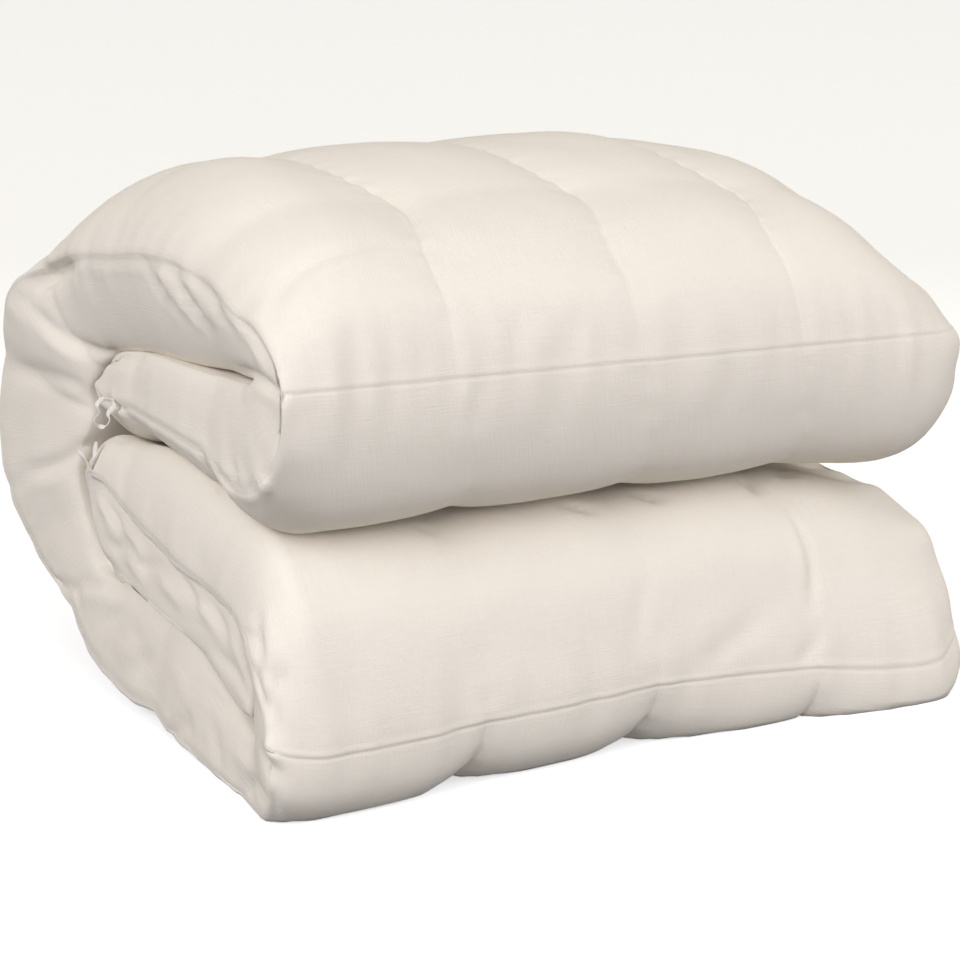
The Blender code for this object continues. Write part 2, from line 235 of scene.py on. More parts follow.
# How far a dent's sharp bottom is rounded: from which row of SECTION on, and by how much there.
SOFTNESS = (
    (0.0, 0.004),
    (9.0, 0.006),
    (17.0, 0.004),
    (23.0, 0.004),
    (25.0, 0.001),
    (27.5, 0.001),
    (29.0, 0.009),
    (41.0, 0.005),
)

# How much the stitches along the channels show: from which row of SECTION on, and by what share.
STITCHED = (
    (0.0, 0.6),
    (4.0, 0.3),
    (8.5, 0.3),
    (10.5, 0.8),
    (14.0, 1.0),
    (26.0, 1.0),
    (28.2, 0.3),
    (29.0, 0.1),
    (32.0, 0.2),
    (42.0, 0.5),
)
GROOVE_DEPTH = 0.0007  # of the stitches along a channel
GROOVE_HALF = 0.0018  # half of its width
CHANNEL_END = 0.012  # how far from the side edges the channels' grooves and ripples fade out
CRESTS = (  # the seams on the front folds' crests: how far above the crest, half of the width, and the height
    (UPPER_CREST, -0.0006, 0.0008, -0.0004),
    (UPPER_CREST, 0.0014, 0.0020, 0.0003),
    (LOWER_CREST, 0.0012, 0.0018, 0.0004),
    (LOWER_CREST, -0.0010, 0.0009, -0.0005),
)
# How much the edge seams show: from which row of SECTION on, and by what share.
SHOWING = (
    (0.0, 1.0),
    (6.5, 1.0),
    (7.4, 0.1),
    (8.8, 0.2),
    (10.0, 1.0),
    (25.0, 1.0),
    (26.5, 0.1),
    (30.0, 0.1),
    (31.5, 0.3),
    (42.0, 0.3),
)
EDGE_SEAM_DEPTH = 0.0012
EDGE_SEAM_HALF = 0.0016  # half of its width
EDGE_LIP_HEIGHT = 0.0008  # of the cloth beside the edge seam
EDGE_LIP_AT = 0.0045  # how far from the seam it stands highest
EDGE_LIP_HALF = 0.0030  # half of its width

# Ripples across the sewn lines: the seed that their waves are drawn from, their height on the line, how far
# from it they reach, and the least and the greatest length of a wave.
CHANNEL_RIPPLES = dict(seed=0, height=0.0005, reach=0.010, shortest=0.009, longest=0.026)
CREST_RIPPLES = dict(seed=20, height=0.0005, reach=0.022, shortest=0.016, longest=0.055)
LEFT_RIPPLES = dict(seed=31, height=0.0005, reach=0.022, shortest=0.022, longest=0.080)
RIGHT_RIPPLES = dict(seed=32, height=0.0012, reach=0.032, shortest=0.024, longest=0.075)
RIPPLE_WAVES = 7  # waves of unlike length in a row of ripples
RIPPLE_LULL = 0.6  # the share of the side edges' ripples that the edge seam itself flattens
SWAY = 0.0009  # height of the broad unevenness of the cloth
SWAY_LENGTH = 0.055
SWAY_OCTAVES = ((1, 1.0), (2, 0.5))  # how many times finer, and at what share of the height

# The creases, a row each: the height of its ridge, or less than 0 for a valley, and half its width, both in
# millimetres, and the pixels of the photograph that it passes through.
CREASES = (
    # pleats under the edge seam of D's end
    (-3.6, 2.6, ((142, 260), (150, 275), (161, 291), (176, 306), (189, 319))),
    (3.0, 4.0, ((158, 266), (170, 288), (186, 308), (203, 325))),
    (-3.6, 2.4, ((174, 268), (177, 280), (186, 298), (200, 316), (211, 330))),
    (2.6, 4.0, ((186, 273), (194, 290), (208, 310), (220, 322))),
    (-2.6, 2.8, ((204, 283), (210, 296), (222, 315), (236, 330))),
    (2.0, 4.0, ((222, 300), (232, 316), (244, 332))),
    (-1.0, 1.5, ((174, 266), (190, 271), (204, 281))),
    # the hollow at D's back corner, and the crease from there to E
    (-10.0, 5.0, ((17, 304), (26, 290), (40, 277), (56, 269), (74, 266))),
    (-6.0, 7.0, ((30, 292), (46, 280), (66, 274))),
    (-5.0, 5.0, ((20, 302), (38, 317), (57, 334), (82, 347), (109, 355), (142, 358))),
    # D's front corner, at the upper crest's seam
    (-2.2, 2.5, ((240, 320), (255, 338), (267, 358), (276, 376), (282, 394))),
    (2.0, 3.0, ((247, 336), (259, 358), (270, 382))),
    (-2.6, 4.0, ((272, 330), (275, 303), (284, 287), (297, 271), (322, 256), (348, 248), (384, 238))),
    (-1.6, 9.0, ((348, 248), (384, 236), (412, 214), (404, 196))),
    (-5.0, 3.5, ((238, 369), (254, 377), (268, 386), (281, 397))),
    # the end of the back fold
    (3.0, 8.0, ((40, 330), (60, 345), (95, 362))),
    (-4.0, 6.0, ((6, 371), (40, 374), (70, 380), (100, 388))),
    (-1.2, 1.4, ((0, 388), (25, 386), (68, 384))),
    (-3.0, 7.0, ((72, 388), (84, 396), (97, 402))),
    (-5.0, 5.0, ((25, 472), (49, 467), (65, 459), (79, 449), (94, 441))),
    (2.0, 6.0, ((30, 484), (52, 480), (74, 468))),
    # the crumpled end of E
    (-2.5, 2.5, ((196, 447), (205, 462), (216, 482), (226, 492))),
    (2.6, 3.0, ((203, 447), (213, 460), (222, 478))),
    (-2.2, 2.0, ((218, 468), (224, 480), (235, 488))),
    (-2.2, 1.8, ((232, 469), (235, 471), (238, 473))),
    (1.8, 2.2, ((238, 473), (247, 484), (256, 494))),
    (-2.2, 2.0, ((243, 476), (250, 488), (258, 498))),
    (3.0, 2.6, ((258, 472), (262, 483), (268, 493))),
    (-1.8, 2.2, ((268, 468), (271, 482), (274, 496))),
    (-2.2, 2.2, ((101, 394), (117, 407), (131, 418), (144, 429))),
    # B's crumpled end
    (-3.2, 2.4, ((88, 516), (96, 506), (108, 498))),
    (3.0, 3.0, ((98, 500), (106, 512), (112, 528))),
    (-3.4, 2.4, ((108, 508), (117, 520), (122, 534))),
    (-3.4, 2.6, ((104, 540), (116, 548), (131, 543))),
    (2.8, 3.2, ((124, 528), (136, 540), (143, 556))),
    (-3.0, 2.6, ((136, 570), (148, 566), (162, 560))),
    (2.6, 3.4, ((126, 556), (136, 568), (146, 584))),
    (2.6, 4.0, ((160, 580), (172, 592), (182, 606))),
    (-2.6, 3.0, ((176, 572), (190, 592), (200, 612))),
    (2.4, 4.0, ((196, 604), (208, 616), (218, 632))),
    (-2.4, 3.4, ((206, 600), (220, 622), (232, 646))),
    (2.2, 4.0, ((226, 634), (238, 652), (246, 672))),
    (-2.4, 3.0, ((214, 652), (232, 668), (246, 690))),
    # the pocket between the back fold and C, and the tuck under it
    (-8.0, 7.0, ((96, 548), (110, 566), (126, 582))),
    (-3.5, 3.0, ((72, 588), (86, 585), (106, 586), (130, 591))),
    (2.5, 3.5, ((76, 597), (92, 595), (112, 597))),
    (-3.0, 2.2, ((73, 588), (77, 594), (82, 600))),
    # puckers where the edge seam of C is drawn in
    (-4.0, 3.2, ((52, 576), (63, 587), (76, 592))),
    (-4.0, 3.4, ((160, 742), (174, 731), (192, 724))),
    (-3.6, 3.2, ((228, 804), (241, 791), (254, 784))),
    (2.0, 4.0, ((116, 660), (126, 652), (140, 648))),
    (-1.2, 6.0, ((128, 622), (140, 650), (146, 682))),
    (1.2, 6.0, ((170, 660), (184, 690), (196, 716))),
    (-1.2, 6.0, ((206, 716), (216, 742), (222, 764))),
    (-3.0, 3.0, ((98, 628), (108, 618), (122, 612))),
    (-3.0, 3.0, ((132, 676), (142, 664), (156, 658))),
    (2.0, 4.0, ((232, 752), (246, 762), (256, 776))),
    (-1.6, 4.0, ((205, 690), (222, 704), (240, 716))),
    # B's outline, on to the corner of the lower fold
    (-4.0, 3.0, ((248, 706), (256, 716), (264, 725), (272, 734))),
    (-2.0, 3.0, ((243, 630), (252, 640), (259, 652))),
    # the gathered corner of the lower fold
    (3.0, 3.6, ((262, 652), (266, 676), (270, 700))),
    (-3.0, 2.6, ((256, 668), (260, 690), (268, 712))),
    (-2.6, 3.0, ((284, 668), (276, 690), (272, 712))),
    (-3.0, 3.0, ((262, 752), (270, 768), (281, 777))),
    (2.6, 3.4, ((268, 736), (272, 752), (280, 762))),
    (-3.0, 3.0, ((252, 776), (260, 792), (272, 806))),
    (-3.0, 2.5, ((257, 612), (259, 645), (264, 670), (274, 684))),
    (2.2, 3.0, ((267, 612), (270, 639), (277, 664))),
    (-2.2, 2.2, ((275, 700), (277, 722), (279, 738))),
    (-2.2, 2.4, ((273, 790), (274, 806), (277, 818))),
    # where the lower fold's top is pinched under the upper fold
    (-4.5, 3.0, ((560, 503), (578, 507), (596, 512))),
    (-5.0, 3.2, ((630, 492), (646, 496), (664, 500))),
    (-4.0, 4.0, ((742, 478), (750, 485), (758, 493))),
    (-4.0, 3.5, ((778, 468), (784, 474), (790, 482))),
    (-2.0, 3.0, ((414, 526), (424, 528), (436, 533))),
    # soft lines down the front of the lower fold
    (-1.2, 6.0, ((648, 572), (641, 610), (636, 652))),
    (1.4, 6.0, ((785, 518), (800, 545), (803, 590))),
    (-2.0, 5.0, ((795, 520), (811, 560), (812, 614))),
    (-2.2, 9.0, ((768, 612), (735, 640), (700, 664))),
    (-2.0, 6.0, ((826, 628), (815, 645), (800, 660))),
    # soft wrinkles by the upper crest's seam
    (-1.0, 5.0, ((478, 382), (477, 403), (476, 426))),
    (-1.2, 5.0, ((552, 367), (556, 395), (558, 430))),
    (-1.0, 5.0, ((646, 362), (648, 395), (646, 430))),
    (-1.0, 5.0, ((728, 358), (729, 385), (727, 412))),
    (-1.2, 5.0, ((810, 352), (811, 390), (812, 430))),
    (-1.0, 4.0, ((521, 308), (518, 328), (517, 350))),
    (-1.0, 4.0, ((582, 306), (579, 326), (578, 346))),
    (1.0, 6.0, ((545, 318), (548, 338), (550, 352))),
)
MILLIMETRES = 1000  # in a metre
CREASE_REACH = 3  # how many half widths from its line a crease still moves the cloth
CREASE_TIP = 0.02  # the share of a crease at either end that tapers no further
TRACE_STEP = 3.0  # pixels between two places along a crease
LONGEST_LEAP = 0.02  # a trace that jumps further has left the cloth that it began on

CLOTH_PLACE = "cloth_place"  # the attribute that holds each point's place on the flat cloth

# ---------------------------------------------------------------------------------------------------------
# The camera, and the places it shows
# ---------------------------------------------------------------------------------------------------------

PICTURE = 960  # pixels across the photograph, and down it
FOCAL_PIXELS = 1777
SENSOR = 36  # mm
CAMERA_PLACE = Vector((-0.64789, -1.05456, 0.394))
CAMERA_TURN = math.radians(-32)  # from looking along +Y
CAMERA_DIP = math.radians(12)  # below the horizon


def in_scene(name, data):
    """A new object in the scene."""
    made = bpy.data.objects.new(name, data)
    bpy.context.scene.collection.objects.link(made)
    return made


def camera():
    """The photograph's camera."""
    data = bpy.data.cameras.new("camera")
    data.sensor_width = SENSOR
    data.lens = SENSOR * FOCAL_PIXELS / PICTURE
    seer = in_scene("camera", data)
    seer.location = CAMERA_PLACE
    seer.rotation_euler = (math.pi / 2 - CAMERA_DIP, 0, CAMERA_TURN)
    bpy.context.scene.camera = seer


def sight(pixel):
    """The direction in which the camera sees a pixel of the photograph."""
    ahead = Vector((
        -math.sin(CAMERA_TURN) * math.cos(CAMERA_DIP),
        math.cos(CAMERA_TURN) * math.cos(CAMERA_DIP),
        -math.sin(CAMERA_DIP),
    ))
    right = Vector((math.cos(CAMERA_TURN), math.sin(CAMERA_TURN), 0))
    up = right.cross(ahead)
    aside = (pixel[0] - PICTURE / 2) / FOCAL_PIXELS
    above = (PICTURE / 2 - pixel[1]) / FOCAL_PIXELS
    return (ahead + right * aside + up * above).normalized()


# ---------------------------------------------------------------------------------------------------------
# The loft
# ---------------------------------------------------------------------------------------------------------


def through(knots, values, places):
    """A smooth curve through the values at the knots, read at the places."""
    knots, values = np.asarray(knots, float), np.asarray(values, float)
    slopes = np.gradient(values, knots)
    i = np.clip(np.searchsorted(knots, places, side="right") - 1, 0, len(knots) - 2)
    span = knots[i + 1] - knots[i]
    t = (places - knots[i]) / span
    start = (1 + 2 * t) * (1 - t) ** 2 * values[i] + t * (1 - t) ** 2 * span * slopes[i]
    return start + t * t * (3 - 2 * t) * values[i + 1] + t * t * (t - 1) * span * slopes[i + 1]


def run_lengths(points):
    """How far along its line each point lies, in one line of points or in a grid with a line in each row."""
    steps = np.linalg.norm(np.diff(points, axis=-2), axis=-1)
    return np.insert(np.cumsum(steps, axis=-1), 0, 0, axis=-1)


def dent(distance, spacing, softness=0.0):
    """1 on a line of stitches, rising from it in a round pillow that is level half a spacing away."""
    rounded = np.sqrt(distance**2 + softness**2)
    reach = np.clip(rounded / spacing, 0, 0.5)
    return 1 - np.sqrt(4 * reach * (1 - reach))


def table_at(table, rows):
    """A table's values at fractional row numbers."""
    return np.interp(rows, *zip(*table))


def travelled_at_rows():
    """How far along the strip each row of SECTION lies, on the way that the cross seams are spaced by."""
    table = np.array(SECTION)
    middle = (table[:, 0:2] + table[:, 2:4]) / 2
    return (run_lengths(middle) + run_lengths(table[:, 0:2])) / 2


def section_at(rows):
    """The SECTION columns at fractional row numbers, with the cross seams spread into their dents."""
    table = np.array(SECTION)
    travelled = travelled_at_rows()
    places = np.interp(rows, np.arange(len(table)), travelled)
    found = {name: through(travelled, table[:, i], places) for i, name in enumerate(SECTION_COLUMNS)}
    strengths = table[:, SECTION_COLUMNS.index("seam")]
    softness = table_at(SOFTNESS, rows)
    pillows = [dent(places - place, CELL_LENGTH, softness) for place in travelled]
    found["seam"] = np.max([strength * pillow for strength, pillow in zip(strengths, pillows)], axis=0)
    found["travelled"] = places
    return found


def edges_at(rows):
    """The EDGES columns at fractional row numbers."""
    table = np.array(EDGES)
    return {name: through(table[:, 0], table[:, i], rows) for i, name in enumerate(EDGE_COLUMNS)}


def channels(aside):
    """Where the channels between the quilted columns lie across the strip."""
    return [PITCH * i - BUNDLE_WIDTH / 2 + aside for i in range(1, COLUMNS)]


def swelling(face, x, rows):
    """How far a face stands beyond the section at a place on the strip."""
    total = 0.0
    for values in MOUNDS:
        mound = dict(zip(MOUND_COLUMNS, values))
        if mound["face"] != face:
            continue
        distance = ((x - mound["x"]) / mound["across"]) ** 2 + ((rows - mound["row"]) / mound["along"]) ** 2
        total = total + mound["height"] * np.exp(-distance)
    return total


def stations():
    """The fractional row numbers of the rows of points, close together where the cloth shows."""
    travelled = travelled_at_rows()
    starts, spacings = np.array(SPACINGS).T
    fine = np.linspace(0, travelled[-1], FINE_STEPS)
    rows = np.interp(fine, travelled, np.arange(len(SECTION)))
    density = 1 / spacings[np.searchsorted(starts, rows, side="right") - 1]
    count = np.r_[0, np.cumsum((density[1:] + density[:-1]) / 2 * np.diff(fine))]
    wanted = np.linspace(0, count[-1], int(count[-1]) + 1)
    return np.interp(wanted, count, rows)


def across(stops):
    """A face's columns of points: each one's angle round a side edge, and its place between the edges.

    Between two channels they lie closer together near the channels."""
    turn = [math.pi / 2 * i / ARC_STEPS for i in range(ARC_STEPS)]
    even = [i / stops for i in range(stops)]
    crowded = [CROWDING * (1 - math.cos(math.pi * stop)) / 2 + (1 - CROWDING) * stop for stop in even]
    left = [(angle, 0.0) for angle in turn]
    middle = [(math.pi / 2, cell + stop) for cell in range(COLUMNS) for stop in crowded]
    right = [(angle, float(COLUMNS)) for angle in turn[::-1]]
    return left + middle + [(math.pi / 2, float(COLUMNS))] + right


def face_points(face, rows, columns):
    """The grid of points of the outer or the inner face, a row for each station."""
    at, edge = section_at(rows), edges_at(rows)
    outer = np.stack([at["outer_y"], at["outer_z"]], axis=1)
    inner = np.stack([at["inner_y"], at["inner_z"]], axis=1)
    thickness = np.maximum(np.linalg.norm(outer - inner, axis=1), THINNEST)
    outward = (outer - inner) / thickness[:, None]
    sunk = np.minimum(LAYER_GAP + SEAM_DEPTH * at["seam"], thickness * MOST_SUNK)
    outer = outer - outward * sunk[:, None]
    inner = inner + outward * np.minimum(LAYER_GAP, thickness * MOST_SUNK)[:, None]
    skin = outer if face == "outer" else inner

    reach = 1 if face == "outer" else INNER_TAPER
    softness = table_at(SOFTNESS, rows)
    left = -BUNDLE_WIDTH / 2 - edge["left"] + EDGE_PULL * at["seam"]
    right = BUNDLE_WIDTH / 2 + edge["right"] - EDGE_PULL * at["seam"]
    seams = channels(edge["aside"])
    borders = [left + reach * edge["left_taper"]] + seams + [right - reach * edge["right_taper"]]
    found = []
    for angle, place in columns:
        cell = min(int(place), COLUMNS - 1)
        x = borders[cell] + (borders[cell + 1] - borders[cell]) * (place - cell)
        side = "left" if place < COLUMNS / 2 else "right"
        sign = -1 if side == "left" else 1
        x = x + sign * reach * edge[side + "_taper"] * math.cos(angle)
        seam_line = inner + (outer - inner) * edge[side + "_seam"][:, None]
        rise = math.sin(angle) ** EDGE_SHARPNESS
        point = seam_line + (skin - seam_line) * rise
        if face == "outer":
            sewn = np.max([dent(x - seam, PITCH, softness) for seam in seams], axis=0)
            point = point + outward * (rise * (swelling(face, x, rows) - at["channel"] * sewn))[:, None]
        else:
            point = point - outward * (rise * swelling(face, x, rows))[:, None]
        found.append(np.stack([x, point[:, 0], np.maximum(point[:, 1] - FOOT_SINK, 0)], axis=1))
    return np.stack(found, axis=1)


def smooth_mesh(name, points, faces, places=None):
    """A smoothly shaded mesh. For cloth it holds each point's place on the flat cloth."""
    data = bpy.data.meshes.new(name)
    data.from_pydata(np.reshape(points, (-1, 3)).tolist(), [], faces)
    data.polygons.foreach_set("use_smooth", [True] * len(data.polygons))
    if places is not None:
        attribute = data.attributes.new(CLOTH_PLACE, "FLOAT_VECTOR", "POINT")
        attribute.data.foreach_set("vector", np.reshape(places, -1))
    data.update()
    return data


def strips(grid):
    """The four corners of every face of a grid of point numbers."""
    corners = [grid[:-1, :-1], grid[:-1, 1:], grid[1:, 1:], grid[1:, :-1]]
    return np.stack([corner.reshape(-1) for corner in corners], axis=1)


class Quilt:
    """The quilt as one closed net: the outer face's points, then the inner face's between the side edges."""

    def __init__(self):
        self.rows = stations()
        outer = face_points("outer", self.rows, across(OUTER_STOPS))
        inner = face_points("inner", self.rows, across(INNER_STOPS))
        self.outer = np.arange(outer.shape[0] * outer.shape[1]).reshape(outer.shape[:2])
        middle = np.arange(inner.shape[0] * (inner.shape[1] - 2)).reshape(inner.shape[0], -1)
        self.inner = np.hstack([self.outer[:, :1], middle + self.outer.size, self.outer[:, -1:]])
        self.points = np.vstack([outer.reshape(-1, 3), inner[:, 1:-1].reshape(-1, 3)])
        self.points -= BUNDLE_MIDDLE
        self.quads = np.vstack([strips(self.outer), strips(self.inner)[:, ::-1]])
        self.caps = [np.r_[self.outer[i][::-1], self.inner[i][1:-1]] for i in (0, -1)]
        self.caps[1] = self.caps[1][::-1]

    def normals(self):
        """The direction straight out of the cloth at each point."""
        a, b, c, d = (self.points[self.quads[:, i]] for i in range(4))
        flat = np.cross(c - a, d - b)
        total = np.zeros_like(self.points)
        for i in range(4):
            np.add.at(total, self.quads[:, i], flat)
        return total / np.maximum(np.linalg.norm(total, axis=1), SMALLEST)[:, None]

    def cloth_places(self):
        """Where each point lies on the flat cloth: across it, and along it."""
        found = np.zeros((len(self.points), 3))
        for grid in (self.outer, self.inner):
            from_left = run_lengths(self.points[grid])
            steps = np.linalg.norm(np.diff(self.points[grid], axis=0), axis=2)
            found[grid, 0] = from_left - from_left[:, grid.shape[1] // 2, None]
            found[grid, 1] = np.r_[0, np.cumsum(np.median(steps, axis=1))][:, None]
        return found

    def push(self, amounts):
        """Moves every point straight out of the cloth by its amount, but not into the floor."""
        self.points += self.normals() * amounts[:, None]
        self.points[:, 2] = np.maximum(self.points[:, 2], 0)

    def tree(self):
        """The cloth as it is now, to look along a line of sight for."""
        return BVHTree.FromPolygons(self.points.tolist(), self.quads.tolist())

    def mesh(self, name):
        """The quilt's mesh, with each point's place on the flat cloth."""
        faces = self.quads.tolist() + [cap.tolist() for cap in self.caps]
        return smooth_mesh(name, self.points, faces, self.cloth_places())


# ---------------------------------------------------------------------------------------------------------
# Seams, ripples and creases
# ---------------------------------------------------------------------------------------------------------


def bell(distance, half):
    """1 at no distance, falling away smoothly."""
    return np.exp(-((distance / half) ** 2))


def ripples(places, kind, number=0):
    """An uneven row of small waves along a line. Lines of one kind have their own waves, by their numbers."""
    draw = np.random.default_rng(kind["seed"] + number)
    total = 0.0
    for _ in range(RIPPLE_WAVES):
        length = draw.uniform(kind["shortest"], kind["longest"])
        total = total + np.sin(2 * math.pi * places / length + draw.uniform(0, 2 * math.pi))
    return kind["height"] * total / math.sqrt(RIPPLE_WAVES / 2)


def sewn_forms(quilt):
    """What the stitches do to the cloth: grooves and ripples along channels, crest seams and side edges."""
    amounts = np.zeros(len(quilt.points))
    aside = edges_at(quilt.rows)["aside"][:, None]
    travelled = section_at(quilt.rows)["travelled"][:, None]
    crests = {row: travelled_at_rows()[row] for row in (UPPER_CREST, LOWER_CREST)}
    for grid in (quilt.outer, quilt.inner):
        x = quilt.points[grid][:, :, 0] + BUNDLE_MIDDLE[0]
        from_left = run_lengths(quilt.points[grid])
        from_edge = np.minimum(from_left, from_left[:, -1:] - from_left)
        form = np.zeros_like(x)
        if grid is quilt.outer:
            away = 1 - bell(from_edge, CHANNEL_END)
            for i, channel in enumerate(channels(aside), start=1):
                form -= GROOVE_DEPTH * bell(x - channel, GROOVE_HALF)
                form += ripples(travelled, CHANNEL_RIPPLES, i) * bell(x - channel, CHANNEL_RIPPLES["reach"])
            form *= away * table_at(STITCHED, quilt.rows)[:, None]
            for row, above, half, height in CRESTS:
                form += height * bell(travelled - crests[row] - above, half)
            for i, crest in enumerate(crests.values()):
                near = bell(travelled - crest, CREST_RIPPLES["reach"])
                form += ripples(x, CREST_RIPPLES, i) * near * away
        showing = table_at(SHOWING, quilt.rows)[:, None]
        form -= showing * EDGE_SEAM_DEPTH * bell(from_edge, EDGE_SEAM_HALF)
        form += showing * EDGE_LIP_HEIGHT * bell(from_edge - EDGE_LIP_AT, EDGE_LIP_HALF)
        lull = 1 - RIPPLE_LULL * bell(from_edge, EDGE_LIP_AT)
        for kind, side in ((LEFT_RIPPLES, x < 0), (RIGHT_RIPPLES, x > 0)):
            near = bell(from_edge - EDGE_LIP_AT, kind["reach"]) * lull
            form += ripples(travelled, kind) * near * side
        amounts[grid] = form
    return amounts


def swaying(quilt):
    """The broad unevenness of soft cloth."""
    spots = [Vector(spot) for spot in quilt.points / SWAY_LENGTH]
    total = np.zeros(len(spots))
    for finer, share in SWAY_OCTAVES:
        total += [share * noise.noise(spot * finer) for spot in spots]
    return SWAY * total


def traced(tree, pixels):
    """The places on the cloth that a line through the pixels shows, and which way the cloth faces there."""
    corners = np.array(pixels, float)
    run = run_lengths(corners)
    stops = np.linspace(0, run[-1], max(int(run[-1] / TRACE_STEP), 2) + 1)
    line = np.stack([through(run, corners[:, i], stops) for i in (0, 1)], axis=1)
    places, facing = [], []
    for pixel in line:
        place, normal, _, _ = tree.ray_cast(CAMERA_PLACE, sight(pixel))
        if place is None or (places and (place - places[-1]).length > LONGEST_LEAP):
            continue
        places.append(place)
        facing.append(normal)
    return np.array(places), np.array(facing)


def nearest_on(line, spots):
    """How far each spot lies from a line of places, and its share of the way along that line."""
    best = np.full(len(spots), np.inf)
    along = np.zeros(len(spots))
    run = run_lengths(line)
    for i, leg in enumerate(np.diff(line, axis=0)):
        share = np.clip((spots - line[i]) @ leg / max(leg @ leg, SMALLEST), 0, 1)
        distance = np.linalg.norm(spots - line[i] - share[:, None] * leg, axis=1)
        nearer = distance < best
        best[nearer] = distance[nearer]
        along[nearer] = (run[i] + share[nearer] * (run[i + 1] - run[i])) / run[-1]
    return best, along


def creased(quilt):
    """How far the creases move each point of the cloth."""
    tree, normals = quilt.tree(), quilt.normals()
    amounts = np.zeros(len(quilt.points))
    for height, half, pixels in CREASES:
        places, facing = traced(tree, pixels)
        if len(places) < 2:
            print("no cloth under the crease at", pixels[0])
            continue
        half = half / MILLIMETRES
        reach = CREASE_REACH * half
        low, high = places.min(axis=0) - reach, places.max(axis=0) + reach
        near = np.nonzero(np.all((quilt.points > low) & (quilt.points < high), axis=1))[0]
        distance, along = nearest_on(places, quilt.points[near])
        same_side = normals[near] @ facing.mean(axis=0) > 0
        taper = np.sqrt(np.sin(math.pi * np.clip(along, CREASE_TIP, 1 - CREASE_TIP)))
        amounts[near] += height / MILLIMETRES * bell(distance, half) * taper * same_side
    return amounts


# ---------------------------------------------------------------------------------------------------------
# Materials
# ---------------------------------------------------------------------------------------------------------

CREAM = (0.79, 0.73, 0.635)
TAPE_WHITE = (0.80, 0.76, 0.70)
FLOOR_WHITE = (0.90, 0.90, 0.90)
THREAD = 0.0009  # the weave's repeat
SLUB_WIDTH, SLUB_LENGTH = 0.0011, 0.0280  # of the uneven threads
SLUB_DETAIL, SLUB_ROUGHNESS = 2.0, 0.6
BLOTCH = 0.11  # size of the faint patches in the colour
BLOTCH_DETAIL, BLOTCH_ROUGHNESS = 3.0, 0.5
DARKER, LIGHTER = 0.93, 1.05  # the shades that the colour varies between
SLUB_SHADE, BLOTCH_SHADE = 0.5, 0.5  # how much the uneven threads and the patches take part in that
WEAVE_RELIEF, SLUB_RELIEF = 0.35, 1.4  # how much the weave and the uneven threads stand out in the relief
RELIEF_HEIGHT, RELIEF_STRENGTH = 0.0003, 0.5
COTTON = {"Roughness": 0.92, "Specular IOR Level": 0.25, "Sheen Weight": 0.12, "Sheen Roughness": 0.55}
MIX_SHARE, MIX_FIRST, MIX_SECOND, MIX_RESULT = 0, 6, 7, 2  # the colour sockets of the Mix node


class Nodes:
    """Adds nodes to a material, each with its values and what feeds it."""

    def __init__(self, name):
        self.material = bpy.data.materials.new(name)
        self.material.use_nodes = True
        self.tree = self.material.node_tree

    def feed(self, node, inputs):
        """Sets a node's inputs. Each is a value, or the output of another node."""
        for key, value in inputs.items():
            if isinstance(value, bpy.types.NodeSocket):
                self.tree.links.new(value, node.inputs[key])
            else:
                node.inputs[key].default_value = value

    def add(self, kind, inputs, **fields):
        """Adds a node with these inputs and fields, and gives its outputs."""
        node = self.tree.nodes.new("ShaderNode" + kind)
        for field, value in fields.items():
            setattr(node, field, value)
        self.feed(node, inputs)
        return node.outputs

    def maths(self, operation, first, second=0.0):
        """One sum of two numbers."""
        return self.add("Math", {0: first, 1: second}, operation=operation)[0]

    def shares(self, first, first_share, second, second_share):
        """Two numbers added, each in its share."""
        parts = [self.maths("MULTIPLY", first, first_share), self.maths("MULTIPLY", second, second_share)]
        return self.maths("ADD", *parts)

    def noise(self, place, scale, detail, roughness):
        """An even, random pattern."""
        inputs = {"Vector": place, "Scale": scale, "Detail": detail, "Roughness": roughness}
        return self.add("TexNoise", inputs)[0]

    def slubs(self, place, width, length):
        """Uneven threads that run one way."""
        stretched = self.add("Mapping", {"Vector": place, "Scale": (1 / width, 1 / length, 1.0)})[0]
        return self.noise(stretched, 1.0, SLUB_DETAIL, SLUB_ROUGHNESS)

    def surface(self, inputs):
        """The material, with these inputs for its shader."""
        self.feed(self.tree.nodes["Principled BSDF"], inputs)
        return self.material


def woven(name, colour):
    """A matt plain-woven cotton, with its weave, its uneven threads and faint patches in its colour."""
    nodes = Nodes(name)
    place = nodes.add("Attribute", {}, attribute_name=CLOTH_PLACE, attribute_type="GEOMETRY")["Vector"]
    parts = nodes.add("SeparateXYZ", {"Vector": place})
    waves = [nodes.maths("SINE", nodes.maths("MULTIPLY", parts[i], 2 * math.pi / THREAD)) for i in (0, 1)]
    weave = nodes.maths("MULTIPLY", *waves)
    across_threads = nodes.slubs(place, SLUB_WIDTH, SLUB_LENGTH)
    along_threads = nodes.slubs(place, SLUB_LENGTH, SLUB_WIDTH)
    uneven = nodes.maths("ADD", across_threads, along_threads)
    blotches = nodes.noise(place, 1 / BLOTCH, BLOTCH_DETAIL, BLOTCH_ROUGHNESS)
    shades = {
        MIX_SHARE: nodes.shares(uneven, SLUB_SHADE, blotches, BLOTCH_SHADE),
        MIX_FIRST: (*(part * DARKER for part in colour), 1),
        MIX_SECOND: (*(min(part * LIGHTER, 1) for part in colour), 1),
    }
    shade = nodes.add("Mix", shades, data_type="RGBA")[MIX_RESULT]
    height = nodes.shares(weave, WEAVE_RELIEF, uneven, SLUB_RELIEF)
    relief = nodes.add("Bump", {"Strength": RELIEF_STRENGTH, "Distance": RELIEF_HEIGHT, "Height": height})[0]
    return nodes.surface({"Base Color": shade, "Normal": relief, **COTTON})


# ---------------------------------------------------------------------------------------------------------
# The stage
# ---------------------------------------------------------------------------------------------------------

